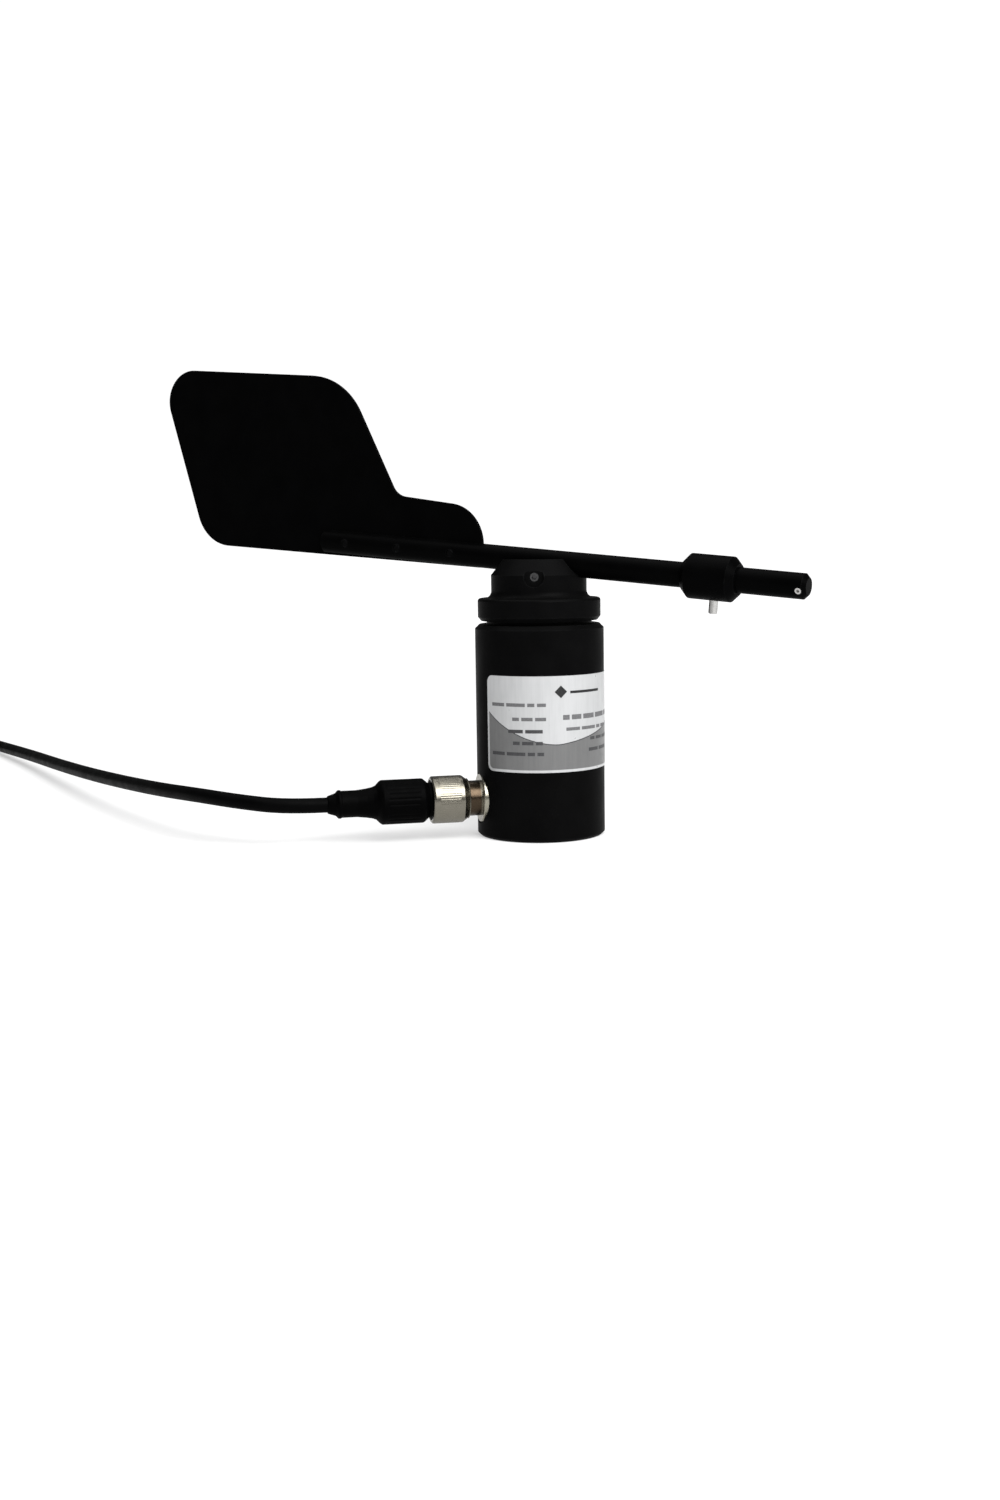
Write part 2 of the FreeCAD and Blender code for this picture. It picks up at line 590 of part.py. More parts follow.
# counterweight: a collar that slides on the rod and is locked by one screw
wc = d["weight_chamfer"]
weight_frame = moved(along, 0, 0, d["weight_rear"])
weight = turned("counterweight", [
    (rod_r + 0.04, 0), (d["weight_dia"] / 2 - wc, 0), (d["weight_dia"] / 2, wc), (d["weight_dia"] / 2, d["weight_length"] - wc),
    (d["weight_dia"] / 2 - wc, d["weight_length"]), (rod_r + 0.04, d["weight_length"]),
], weight_frame)
lock_frame = frame(U, W, V * -1, crossing + U * num(d["weight_screw"]))
keep(cut("counterweight", weight, [cylinder("lock_thread", 1.35, 6.0, moved(lock_frame, 0, 0, 3.0))]))
lock = turned("counterweight_screw", [(0, 3.86), (0.9, 3.86), (1.35, 4.3), (1.35, d["weight_screw_drop"] - 0.25), (1.15, d["weight_screw_drop"]), (0, d["weight_screw_drop"])], lock_frame)
keep(cut("counterweight_screw", lock, [prism("lock_hex", 1.3, 2.0, moved(lock_frame, 0, 0, d["weight_screw_drop"] - 1.4))]))

# ---------------------------------------------------------------- receptacle
thread_r, root_r = d["thread_dia"] / 2, d["thread_dia"] / 2 - 0.5
shell = [(4.6, 9.0), (5.7, 9.0), (thread_r, 9.3), (thread_r, 17.7), (d["plug_disc"] / 2, 17.7), (d["plug_disc"] / 2, 19.5), (d["plug_disc"] / 2 - 0.3, 19.8),
         (root_r, 19.8), (root_r, 24.2)]
for k in range(6):
    s = 24.2 + 1.1 * k
    shell += [(thread_r, s + 0.35), (thread_r, s + 0.6), (root_r, s + 0.95)]
    if k < 5:
        shell.append((root_r, s + 1.1))
shell += [(root_r, 30.9), (5.2, 31.1), (4.6, 31.1)]
keep(turned("receptacle_shell", shell, outward))
keep(turned("receptacle_gasket", [(thread_r + 0.02, flange_seat), (7.6, flange_seat), (7.6, 17.7), (thread_r + 0.02, 17.7)], outward))
nut = prism("receptacle_nut", 14.6, 2.2, moved(outward, 0, 0, inner_seat - 2.2))
keep(cut("receptacle_nut", nut, [cylinder("receptacle_nut_bore", thread_r, 3.0, moved(outward, 0, 0, inner_seat - 2.6))]))
pin_places = [(2.4, 45), (2.4, 135), (2.4, 225), (2.4, 315), (0.0, 0)]
insert = turned("receptacle_insert", [(0, 10.0), (4.6, 10.0), (4.6, 20.4), (0, 20.4)], outward)
keep(cut("receptacle_insert", insert, [cylinder("receptacle_pin_hole_%d" % (i + 1), 0.5, 14.0, moved(outward, *polar(r, a), 8.0)) for i, (r, a) in enumerate(pin_places)]))
pins = [turned("receptacle_pin_%d" % (i + 1), [(0, 8.6), (0.5, 8.6), (0.5, 27.4), (0.25, 27.9), (0, 27.9)], moved(outward, *polar(r, a), 0)) for i, (r, a) in enumerate(pin_places)]
keep(group("receptacle_pins", pins))
wires = []
for i, (dy, dz) in enumerate(((-1.7, 1.7), (1.7, 1.7), (-1.7, -1.7), (1.7, -1.7))):
    z0 = num(d["plug_level"]) + dz
    wires.append(tube("lead_wire_%d" % (i + 1), [(-8.6, dy, z0), (-7.6, dy * 1.05, z0 + 0.1), (-7.05, dy * 1.3, z0 + 1.6), (-7.3, dy * 1.4, z0 + 5.0), (-7.7, dy * 1.3, 24.4)], 0.8, show=False))
keep(group("lead_wires", wires))

# ---------------------------------------------------------------- cordset plug
nut_r, grip_r, sleeve_r, cable_r = d["nut_dia"] / 2, d["grip_dia"] / 2, d["sleeve_dia"] / 2, d["cable_dia"] / 2


def plug(prefix, place, s=0.0):
    """The plug's four pieces, turned about the local Z axis; s is what the spin axis would be."""
    coupling = turned(prefix + "coupling_nut", [
        (6.1, 23.9), (6.3, 23.7), (nut_r - 1.3, 23.9), (nut_r - 0.2, d["nut_front"]), (nut_r, d["nut_front"] + 0.3), (nut_r, d["nut_rear"] - 0.5),
        (nut_r - 0.5, d["nut_rear"]), (6.22, d["nut_rear"]), (6.22, 33.0), (6.65, 33.0), (6.65, 31.3), (6.1, 31.0),
    ], place)
    grip = turned(prefix + "plug_grip", [
        (4.3, 31.4), (6.5, 31.4), (6.5, 32.9), (6.12, 32.9), (6.12, 35.2), (5.4, 35.4), (5.4, 36.2), (grip_r - 0.15, 37.7), (grip_r, 38.1),
        (grip_r, 50.7), (grip_r - 0.35, 51.3), (5.3, 52.5), (4.85, 53.6), (4.5, 55.5), (sleeve_r, 58.5), (sleeve_r, 63.2),
        (4.4, 63.5), (4.4, 64.2), (3.5, 65.0), (2.75, d["tail_end"] - 0.2), (2.55, d["tail_end"]), (0, d["tail_end"]), (0, 33.0), (4.3, 33.0),
    ], place)
    carrier = turned(prefix + "plug_insert", [(0, 20.9), (4.1, 20.9), (4.3, 21.1), (4.3, 33.0), (0, 33.0)], place)
    holes = [cylinder(prefix + "plug_hole_%d" % (i + 1), 0.85, 11.0, moved(place, *polar(r, a), 20.5)) for i, (r, a) in enumerate(pin_places)]
    carrier = cut(prefix + "plug_insert", carrier, holes)
    contacts = [turned(prefix + "contact_%d" % (i + 1), [(0.55, 21.2), (0.85, 21.2), (0.85, 31.5), (0, 31.5), (0, 29.0), (0.55, 29.0)],
                       moved(place, *polar(r, a), 0)) for i, (r, a) in enumerate(pin_places)]
    contacts = group(prefix + "plug_contacts", contacts)
    seal = turned(prefix + "plug_seal", [(4.3, 31.12), (5.7, 31.12), (5.7, 31.4), (4.3, 31.4)], place)
    return [keep(coupling), keep(grip), keep(carrier), keep(contacts), keep(seal)]


plug("", outward)

# ---------------------------------------------------------------- cable
level = num(d["plug_level"])
ROUTE = [
    (-67.5, 0.0, level), (-80.0, 0.0, level), (-93.5, 4.8, 13.4), (-105.5, 18.0, 14.1), (-115.5, 39.0, 13.1),
    (-126.0, 69.0, 11.5), (-138.0, 108.0, 9.5), (-151.0, 157.0, 7.1), (-165.5, 213.0, 4.9), (-182.5, 268.0, 3.1),
    (-203.0, 321.0, 2.5),
]
# two layers of four and a quarter turns, wound inward on the floor and outward on top
coil_r, coil_step, coil_turns, coil_low = 28.0, 4.75, 4, 2.8
coil_high = coil_low + num(d["cable_dia"]) + 0.04
lay_r = coil_r + coil_step * coil_turns / 2        # outermost turn
entry = Vector(ROUTE[-1][0], ROUTE[-1][1], 0)
heading = (entry - Vector(ROUTE[-2][0], ROUTE[-2][1], 0)).normalize()
left = Vector(-heading.y, heading.x, 0)
coil_at = entry + left * lay_r
keep(tube("cable_tube", ROUTE, d["cable_dia"]))
coil_in, coil_out = coil_r - 12.6, coil_r + 12.4
coil_top = coil_high + cable_r + 0.4
keep(turned("cable_coil", [
    (coil_in + 2.0, 0), (coil_out - 2.0, 0), (coil_out, 2.0), (coil_out, coil_top - 2.0), (coil_out - 2.0, coil_top),
    (coil_in + 2.0, coil_top), (coil_in, coil_top - 2.0), (coil_in, 2.0),
], up(coil_at.x, coil_at.y, 0)))
print("coil centre %.2f %.2f" % (coil_at.x, coil_at.y), "heading %.4f %.4f" % (heading.x, heading.y))

# free end: leaves the coil's outermost upper turn opposite its entry, sags, and meets the far plug's tail
leave = coil_at + left * lay_r
back = heading * -1
rest_level = num(nut_r) + 0.03
sag_1, sag_2 = leave + back * 16.0, leave + back * 33.0 + left * 2.2
out = (back * 17.0 + left * 2.8).normalize()
lie_1 = sag_2 + out * 14.0
lie_2 = lie_1 + out * 9.0 + left * 0.6
END = [(p.x, p.y, z) for p, z in ((leave, num(coil_high)), (sag_1, 6.9), (sag_2, 6.6), (lie_1, rest_level), (lie_2, rest_level))]
final = (lie_2 - lie_1).normalize()
keep(tube("cable_end", END, d["cable_dia"]))
far_origin = Vector(lie_2.x, lie_2.y, rest_level) + final * num(d["tail_end"])
far = frame(Z, (final * -1).cross(Z), final * -1, far_origin)
plug("far_", far)
print("far plug tail %.2f %.2f front %.2f %.2f" % (lie_2.x, lie_2.y, (far_origin - final * 20.9).x, (far_origin - final * 20.9).y))

# ---------------------------------------------------------------- checks and export
doc.recompute()
for o in doc.Objects:
    if "Invalid" in o.State or "Error" in o.State:
        raise RuntimeError("%s is %s" % (o.Label, o.State))
names = [o.Label for o in nodes]
if len(set(names)) != len(names) or len(names) > 60:
    raise RuntimeError("node names: %d, %s" % (len(names), sorted(n for n in names if names.count(n) > 1)))
for o in nodes:
    if o.Shape.isNull() or not o.Shape.isValid() or o.Shape.Volume <= 0:
        raise RuntimeError(o.Label + ": bad shape")
os.makedirs("parts", exist_ok=True)
for old in os.listdir("parts"):
    if old.endswith(".step") and old[:-5] not in names:
        os.remove(os.path.join("parts", old))
for o in nodes:
    o.Shape.exportStep(os.path.join("parts", o.Label + ".step"))
print(len(nodes), "nodes written")
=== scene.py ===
import bpy, bmesh, math
from mathutils import Matrix, Vector


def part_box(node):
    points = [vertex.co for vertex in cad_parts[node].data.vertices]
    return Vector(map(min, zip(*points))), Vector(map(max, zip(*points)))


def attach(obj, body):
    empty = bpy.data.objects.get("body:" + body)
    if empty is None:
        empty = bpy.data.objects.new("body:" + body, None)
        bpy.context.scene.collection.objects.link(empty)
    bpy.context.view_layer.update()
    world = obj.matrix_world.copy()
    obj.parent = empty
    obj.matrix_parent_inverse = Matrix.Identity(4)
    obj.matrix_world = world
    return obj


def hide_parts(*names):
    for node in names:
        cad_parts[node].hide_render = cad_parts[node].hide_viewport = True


# Looks for the wind direction sensor. Metres, in the CAD model's frame: +Z is
# the spin axis, the origin is the centre of the housing's underside and the
# connector leaves along -X. Sizes written in millimetres go through MM.

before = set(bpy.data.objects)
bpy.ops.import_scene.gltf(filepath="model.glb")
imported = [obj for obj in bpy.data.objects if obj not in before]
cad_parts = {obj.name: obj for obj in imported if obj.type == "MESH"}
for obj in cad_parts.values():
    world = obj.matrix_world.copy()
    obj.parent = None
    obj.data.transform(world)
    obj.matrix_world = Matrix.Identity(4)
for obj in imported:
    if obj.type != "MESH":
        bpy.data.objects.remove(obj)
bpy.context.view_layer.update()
MM = 0.001

# ---------------------------------------------------------------- measures from the frame
BODY_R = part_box("body_housing")[1].x / MM       # the housing's radius
VANE_TURN, VANE_DIP = -42.0, 5.0                # rod's axis: heading and nose-down pitch, in degrees
turn, dip = math.radians(VANE_TURN), math.radians(VANE_DIP)
U = Vector((math.cos(dip) * math.cos(turn), math.cos(dip) * math.sin(turn), -math.sin(dip)))   # along the rod
V = Vector((math.sin(dip) * math.cos(turn), math.sin(dip) * math.sin(turn), math.cos(dip)))    # up the fin
W = U.cross(V)                                                                                  # out of the fin
OUT = Vector((-1, 0, 0))                        # the connector's axis
PLUG_LEVEL = 11.9                               # and its height

# ---------------------------------------------------------------- camera
CAMERA_AT = Vector((-0.1280, -0.5134, 0.0942))
CAMERA_SIDE, CAMERA_YAW, CAMERA_DOWN, CAMERA_ROLL = (math.radians(a) for a in (-14.0, -1.38, 7.32, -0.8))


def make_camera():
    data = bpy.data.cameras.new("camera")
    data.lens, data.sensor_width = 40.8, 36.0
    data.clip_start, data.clip_end = 0.01, 20.0
    cam = bpy.data.objects.new("camera", data)
    bpy.context.scene.collection.objects.link(cam)
    look = Vector((math.sin(CAMERA_YAW) * math.cos(CAMERA_DOWN),
                   math.cos(CAMERA_YAW) * math.cos(CAMERA_DOWN), -math.sin(CAMERA_DOWN)))
    look.rotate(Matrix.Rotation(CAMERA_SIDE, 3, "Z"))
    level = look.cross(Vector((0, 0, 1))).normalized()
    upward = level.cross(look)
    right = level * math.cos(CAMERA_ROLL) + upward * math.sin(CAMERA_ROLL)
    top = upward * math.cos(CAMERA_ROLL) - level * math.sin(CAMERA_ROLL)
    cam.matrix_world = Matrix((right, top, -look)).transposed().to_4x4()
    cam.location = CAMERA_AT
    bpy.context.scene.camera = cam


make_camera()

# ---------------------------------------------------------------- materials


class Paint:
    """A material whose nodes are added by short calls. Positions are the object's own, which is the frame."""

    def __init__(self, name, colour, roughness, metallic=0.0, specular=0.5, coat=0.0, coat_rough=0.1, sheen=0.0):
        self.mat = bpy.data.materials.new(name)
        self.mat.use_nodes = True
        self.tree = self.mat.node_tree
        self.shader = self.tree.nodes["Principled BSDF"]
        self.mat.diffuse_color = (*colour, 1.0)
        for socket, value in (("Base Color", (*colour, 1.0)), ("Roughness", roughness), ("Metallic", metallic),
                              ("Specular IOR Level", specular), ("Coat Weight", coat),
                              ("Coat Roughness", coat_rough), ("Sheen Weight", sheen)):
            self.shader.inputs[socket].default_value = value
        self.colour, self.roughness = colour, roughness
        self.where = self.node("ShaderNodeTexCoord").outputs["Object"]
        self.normal = None
        self.colour_out = None

    def node(self, kind, **values):
        n = self.tree.nodes.new(kind)
        for key, value in values.items():
            if hasattr(n, key):
                setattr(n, key, value)
            else:
                n.inputs[key.replace("_", " ")].default_value = value
        return n

    def link(self, out, socket):
        self.tree.links.new(out, socket)

    def math(self, operation, a, b=0.0, c=0.0):
        n = self.node("ShaderNodeMath", operation=operation)
        for i, x in enumerate((a, b, c)):
            if isinstance(x, (int, float)):
                n.inputs[i].default_value = x
            else:
                self.link(x, n.inputs[i])
        return n.outputs[0]

    def remap(self, value, low, high, to_low, to_high):
        n = self.node("ShaderNodeMapRange")
        self.link(value, n.inputs["Value"])
        for socket, x in (("From Min", low), ("From Max", high), ("To Min", to_low), ("To Max", to_high)):
            n.inputs[socket].default_value = x
        return n.outputs["Result"]

    def along(self, axis):
        """How far a point lies along an axis through the origin, in metres."""
        n = self.node("ShaderNodeVectorMath", operation="DOT_PRODUCT")
        self.link(self.where, n.inputs[0])
        n.inputs[1].default_value = axis
        return n.outputs["Value"]

    def noise(self, size, detail=3.0, rough=0.55, stretch=None):
        """Noise whose features are about size millimetres across."""
        n = self.node("ShaderNodeTexNoise", Scale=1.0 / (size * MM), Detail=detail, Roughness=rough)
        source = self.where
        if stretch is not None:
            m = self.node("ShaderNodeVectorMath", operation="MULTIPLY")
            self.link(source, m.inputs[0])
            m.inputs[1].default_value = stretch
            source = m.outputs[0]
        self.link(source, n.inputs["Vector"])
        return n.outputs["Fac"]

    def lines(self, axis, pitch, detail=4.0):
        """Noise that varies only along one axis, as a lathe tool leaves it."""
        n = self.node("ShaderNodeTexNoise", noise_dimensions="1D", Scale=1.0 / (pitch * MM), Detail=detail)
        self.link(self.along(axis), n.inputs["W"])
        return n.outputs["Fac"]

    def bump(self, height, strength, depth):
        """depth is the height's real range in millimetres."""
        n = self.node("ShaderNodeBump", Strength=strength, Distance=depth * MM)
        self.link(height, n.inputs["Height"])
        if self.normal is not None:
            self.link(self.normal, n.inputs["Normal"])
        self.normal = n.outputs["Normal"]
        self.link(self.normal, self.shader.inputs["Normal"])
        return self

    def blend(self, factor, other):
        """Mixes another colour over what the base colour is so far."""
        n = self.node("ShaderNodeMix", data_type="RGBA")
        self.link(factor, n.inputs["Factor"])
        colours = [s for s in n.inputs if s.type == "RGBA"]
        if self.colour_out is None:
            colours[0].default_value = (*self.colour, 1.0)
        else:
            self.link(self.colour_out, colours[0])
        colours[1].default_value = (*other, 1.0)
        self.colour_out = [s for s in n.outputs if s.type == "RGBA"][0]
        self.link(self.colour_out, self.shader.inputs["Base Color"])
        return self

    def vary_rough(self, value, low, high):
        self.link(self.remap(value, 0.3, 0.7, low, high), self.shader.inputs["Roughness"])
        return self

    def edges(self, radius):
        """1 on convex and concave edges of about that radius in millimetres, 0 on flats."""
        b = self.node("ShaderNodeBevel", samples=6, Radius=radius * MM)
        g = self.node("ShaderNodeNewGeometry")
        n = self.node("ShaderNodeVectorMath", operation="DOT_PRODUCT")
        self.link(b.outputs["Normal"], n.inputs[0])
        self.link(g.outputs["Normal"], n.inputs[1])
        return self.remap(n.outputs["Value"], 0.995, 0.86, 0.0, 1.0)


def anodised(name, axis, grain=0.35, colour=(0.0016, 0.0016, 0.00165), gloss=0.014):
    """Black anodised aluminium: bead-blasted grain over faint turning lines, greyer along its edges."""
    p = Paint(name, colour, 0.40, specular=gloss)
    cloud = p.noise(9.0, 4.0)
    fine = p.noise(0.45, 3.0)
    p.blend(p.remap(cloud, 0.35, 0.7, 0.0, 0.55), tuple(c * 1.9 for c in colour))
    worn = p.math("MULTIPLY", p.edges(0.5), p.remap(p.noise(1.6, 4.0), 0.42, 0.66, 0.15, 1.0))
    p.blend(p.math("MULTIPLY", worn, 0.5), (0.012, 0.012, 0.0125))
    p.vary_rough(cloud, 0.37, 0.5)
    p.bump(p.lines(axis, 0.16), 0.22, 0.012)
    p.bump(fine, grain, 0.02)
    return p.mat


def metal(name, colour, rough, axis=(1, 0, 0), tarnish=None, pitch=0.12, lines=0.2):
    """Plated or turned metal with tool lines, smears and a darker film in places."""
    p = Paint(name, colour, rough, metallic=1.0)
    smear = p.noise(4.5, 4.0, 0.5)
    p.blend(p.remap(smear, 0.4, 0.75, 0.0, 0.6), tarnish or tuple(c * 0.72 for c in colour))
    p.vary_rough(p.noise(2.0, 3.0), rough * 0.85, rough * 1.2)
    p.bump(p.lines(axis, pitch), lines, 0.01)
    p.bump(p.noise(0.6, 2.0), 0.04, 0.006)
    return p.mat


def shell_metal(name):
    """Nickel on the receptacle: a clean flange, and a darker, warmer painted shade in the neck behind the nut, where
    the gap between nut and flange lies in shade.
    """
    p = Paint(name, (0.29, 0.275, 0.225), 0.26, metallic=1.0)
    p.blend(p.remap(p.noise(3.2, 4.0), 0.4, 0.75, 0.0, 0.5), (0.23, 0.215, 0.17))
    # painted shade: the neck between the nut and the flange is coloured darker and warmer, along the connector's
    # axis
    p.blend(p.remap(p.along(tuple(OUT)), 19.6 * MM, 20.4 * MM, 0.0, 1.0), (0.05, 0.036, 0.024))
    p.vary_rough(p.noise(1.1, 4.0), 0.2, 0.34)
    p.bump(p.lines(tuple(OUT), 0.2), 0.15, 0.01)
    return p.mat


def polymer(name, colour, rough, grain=0.3, size=0.35, specular=0.35, dust=(0.03, 0.03, 0.031)):
    """Moulded plastic or rubber: a spark-eroded skin, with a little dust on it."""
    p = Paint(name, colour, rough, specular=specular)
    p.blend(p.remap(p.noise(6.0, 5.0, 0.65), 0.5, 0.8, 0.0, 0.35), dust)
    p.vary_rough(p.noise(2.5, 4.0), rough * 0.86, rough * 1.15)
    p.bump(p.noise(size, 3.0, 0.6), grain, 0.03)
    return p.mat


def jacket(name):
    """The cable's matt PUR skin: fine grain, and print-free."""
    p = Paint(name, (0.0008, 0.0008, 0.00085), 0.44, specular=0.02)
    p.blend(p.remap(p.noise(14.0, 4.0), 0.45, 0.75, 0.0, 0.5), (0.0018, 0.0018, 0.0019))
    p.vary_rough(p.noise(4.0, 3.0), 0.4, 0.54)
    p.bump(p.noise(1.8, 2.0), 0.25, 0.05)
    p.bump(p.noise(0.3, 2.0), 0.2, 0.015)
    return p.mat


def foil(name, colour, shade, rough=0.34):
    """Printed silver polyester: slightly metallic, with faint vertical rolling streaks."""
    p = Paint(name, colour, rough, metallic=0.35, specular=0.5, coat=0.25, coat_rough=0.3)
    streak = p.noise(0.8, 3.0, 0.5, stretch=(1.0, 1.0, 0.06))
    p.blend(p.remap(streak, 0.4, 0.65, 0.0, 0.5), shade)
    p.blend(p.remap(p.noise(11.0, 4.0), 0.48, 0.72, 0.0, 0.4), tuple(c * 0.86 for c in colour))
    p.vary_rough(p.noise(2.2, 4.0), rough * 0.8, rough * 1.3)
    p.bump(p.noise(5.0, 2.0), 0.12, 0.02)
    return p.mat


def ink(name, colour):
    p = Paint(name, colour, 0.5, specular=0.3)
    p.blend(p.remap(p.noise(0.35, 3.0), 0.45, 0.7, 0.0, 0.7), tuple(c * 1.6 + 0.006 for c in colour))
    p.bump(p.noise(0.2, 2.0), 0.1, 0.005)
    return p.mat


def board_green(name):
    """Solder resist over a weave, with the copper tracks showing as lighter runs."""
    p = Paint(name, (0.008, 0.05, 0.02), 0.3, specular=0.5, coat=0.3)
    tracks = p.node("ShaderNodeTexBrick", Scale=900.0)
    p.link(p.where, tracks.inputs["Vector"])
    p.blend(p.math("MULTIPLY", tracks.outputs["Fac"], 0.6), (0.02, 0.11, 0.04))
    p.bump(p.noise(0.3, 2.0), 0.1, 0.01)
    return p.mat


HEAD_ON = (0, 0, 1)
skins = {
    "housing": anodised("anodised_housing", HEAD_ON),
    "hub": anodised("anodised_hub", HEAD_ON),
    "rod": anodised("anodised_rod", tuple(U), grain=0.25, colour=(0.0006, 0.0006, 0.00064), gloss=0.010),
    "fin": anodised("anodised_fin", tuple(W), grain=0.5, colour=(0.0007, 0.0007, 0.00075), gloss=0.008),
    "weight": anodised("blackened_weight", tuple(U), grain=0.3, colour=(0.0006, 0.0006, 0.00064), gloss=0.010),
    "nickel": metal("nickel_plate", (0.185, 0.174, 0.145), 0.27, tarnish=(0.155, 0.145, 0.117)),
    "shell": shell_metal("nickel_shell"),
    "steel": metal("stainless_steel", (0.46, 0.455, 0.445), 0.28, tarnish=(0.30, 0.29, 0.28)),
    "tip": metal("dark_steel", (0.10, 0.10, 0.102), 0.36, tarnish=(0.06, 0.06, 0.06)),
    "rivet": metal("blackened_rivet", (0.004, 0.004, 0.0042), 0.45, axis=tuple(W)),
    "spacer": metal("aluminium_spacer", (0.62, 0.63, 0.65), 0.3, axis=HEAD_ON),
    "brass": metal("brass_post", (0.70, 0.50, 0.20), 0.26, axis=HEAD_ON, tarnish=(0.45, 0.30, 0.12)),
    "gold": metal("gold_contact", (0.85, 0.62, 0.22), 0.2),
    "moulding": polymer("black_moulding", (0.0006, 0.0006, 0.00064), 0.48, specular=0.014,
                        dust=(0.002, 0.002, 0.002)),
    "insert": polymer("insert_plastic", (0.012, 0.012, 0.013), 0.38, grain=0.15),
    "jacket": jacket("cable_jacket"),
    "rubber": polymer("seal_rubber", (0.008, 0.008, 0.008), 0.62, grain=0.4),
    "board": board_green("circuit_board"),
    "chip": polymer("chip_epoxy", (0.012, 0.012, 0.013), 0.45, size=0.2),
    "wire": polymer("wire_jacket", (0.30, 0.035, 0.02), 0.4, grain=0.1, dust=(0.34, 0.06, 0.04)),
    "foil": foil("label_foil", (0.47, 0.475, 0.48), (0.41, 0.415, 0.42)),
    "band": foil("label_grey_print", (0.135, 0.136, 0.136), (0.112, 0.113, 0.113), rough=0.42),
    "ink": ink("label_ink", (0.008, 0.008, 0.0085)),
    "grey_ink": ink("label_grey_ink", (0.10, 0.10, 0.103)),
    "soft_ink": ink("label_soft_ink", (0.035, 0.035, 0.037)),
    "tie": polymer("tie_nylon", (0.003, 0.003, 0.0032), 0.42, grain=0.1, specular=0.12, dust=(0.006, 0.006, 0.006)),
}
FINISH = {
    "housing": ("body_housing",),
    "hub": ("rotor_hub",),
    "rod": ("vane_rod",),
    "fin": ("tail_fin",),
    "weight": ("counterweight", "base_plate"),
    "nickel": ("coupling_nut", "far_coupling_nut"),
    "shell": ("receptacle_shell", "receptacle_nut"),
    "tip": ("hub_set_screw",),
    "steel": ("nose_screw", "counterweight_screw", "base_screw_1", "base_screw_2", "base_screw_3",
              "board_screw_1", "board_screw_2", "board_screw_3", "spindle", "spindle_clip", "bearing_circlip",
              "lower_bearing_balls", "lower_bearing_inner", "lower_bearing_outer", "upper_bearing_balls",
              "upper_bearing_inner", "upper_bearing_outer", "magnet"),
    "rivet": ("fin_rivet_1", "fin_rivet_2", "fin_rivet_3"),
    "spacer": ("bearing_spacer", "magnet_holder"),
    "brass": ("board_standoff_1", "board_standoff_2", "board_standoff_3"),
    "gold": ("receptacle_pins", "plug_contacts", "far_plug_contacts"),
    "moulding": ("plug_grip", "far_plug_grip"),
    "insert": ("receptacle_insert", "plug_insert", "far_plug_insert"),
    "rubber": ("base_gasket", "receptacle_gasket", "shaft_seal", "plug_seal", "far_plug_seal"),
    "board": ("circuit_board",),
    "chip": ("sensor_chip", "board_parts"),
    "wire": ("lead_wires",),
}


def skin(obj, which):
    obj.data.materials.clear()
    obj.data.materials.append(skins[which])


for which, names in FINISH.items():
    for node in names:
        skin(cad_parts[node], which)

# ---------------------------------------------------------------- shapes in mesh code
CREASE = math.radians(32)


def finished(name, verts, faces, which, body):
    """A mesh object from points in millimetres, with smooth faces and sharp creases, on its body."""
    mesh = bpy.data.meshes.new(name)
    mesh.from_pydata([tuple(c * MM for c in v) for v in verts], [], faces)
    bm = bmesh.new()
    bm.from_mesh(mesh)
    bmesh.ops.remove_doubles(bm, verts=bm.verts, dist=1e-7)
    bmesh.ops.recalc_face_normals(bm, faces=bm.faces)
    bm.to_mesh(mesh)
    bm.free()
    mesh.shade_smooth()
    mesh.set_sharp_from_angle(angle=CREASE)
    obj = bpy.data.objects.new(name, mesh)
    bpy.context.scene.collection.objects.link(obj)
    skin(obj, which)
    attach(obj, body)
    return obj


def soften(profile, radius):
    """Rounds each corner of a closed profile with three points of a small curve."""
    out = []
    for i, here in enumerate(profile):
        a, b, c = Vector(profile[i - 1]), Vector(here), Vector(profile[(i + 1) % len(profile)])
        reach = min(radius, (a - b).length * 0.35, (c - b).length * 0.35)
        if b.x < 1e-6 or reach < 0.01:
            out.append(tuple(b))
            continue
        start, end = b + (a - b).normalized() * reach, b + (c - b).normalized() * reach
        out += [tuple(start), tuple(start * 0.25 + b * 0.5 + end * 0.25), tuple(end)]
    return out


def turned(name, profile, origin, axis, which, body, segments=96, edge=0.12, flute=None):
    """A turned solid. profile is (radius, place along the axis); flute(s, angle) lowers the surface."""
    axis = Vector(axis).normalized()
    across = axis.orthogonal().normalized()
    beside = axis.cross(across)
    rounded = soften(profile, edge)
    verts, faces = [], []
    for k in range(segments):
        a = 2 * math.pi * k / segments
        ray = across * math.cos(a) + beside * math.sin(a)
        for r, s in rounded:
            low = flute(r, s, a) if flute else 0.0
            verts.append(tuple(Vector(origin) + axis * s + ray * (r - low)))
    n = len(rounded)
    for k in range(segments):
        j = (k + 1) % segments
        for i in range(n):
            m = (i + 1) % n
            if rounded[i][0] < 1e-6 and rounded[m][0] < 1e-6:
                continue
            quad = [k * n + i, k * n + m, j * n + m, j * n + i]
            if rounded[i][0] < 1e-6:
                quad = quad[:3]
            elif rounded[m][0] < 1e-6:
                quad = [quad[0], quad[1], quad[3]]
            faces.append(quad)
    return finished(name, verts, faces, which, body)


def between(points, gap):
    """The profile with more points along its long runs, so that flutes can fade in."""
    out = []
    for a, b in zip(points, points[1:] + points[:1]):
        n = max(1, int((Vector(b) - Vector(a)).length / gap))
        out += [tuple(Vector(a).lerp(Vector(b), k / n)) for k in range(n)]
    return out


